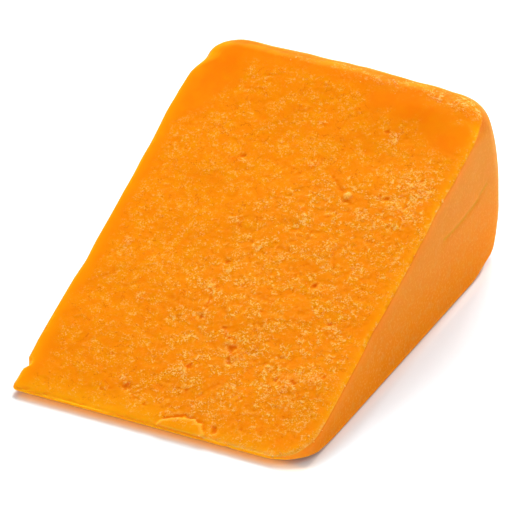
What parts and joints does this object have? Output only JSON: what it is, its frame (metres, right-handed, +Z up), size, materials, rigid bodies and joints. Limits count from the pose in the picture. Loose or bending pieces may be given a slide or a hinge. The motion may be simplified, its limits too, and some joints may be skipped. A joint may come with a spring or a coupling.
{
  "type": "cheese wedge",
  "caption": "Wedge of orange hard cheese with a bulging rind end, a thin front edge and a torn, crumbly cut face.",
  "frame": {"origin": "middle of the wedge's outline seen from above, on the surface that it lies on", "axes": "+Z up, +Y from the thin edge towards the rind end, +X to the right along the thin edge"},
  "size_m": [0.0826, 0.125, 0.0481],
  "materials": {
    "cheese_paste": "matt, slightly waxy and translucent"
  },
  "bodies": {
    "root": {"cheese_wedge": "cheese_paste"}
  },
  "joints": []
}
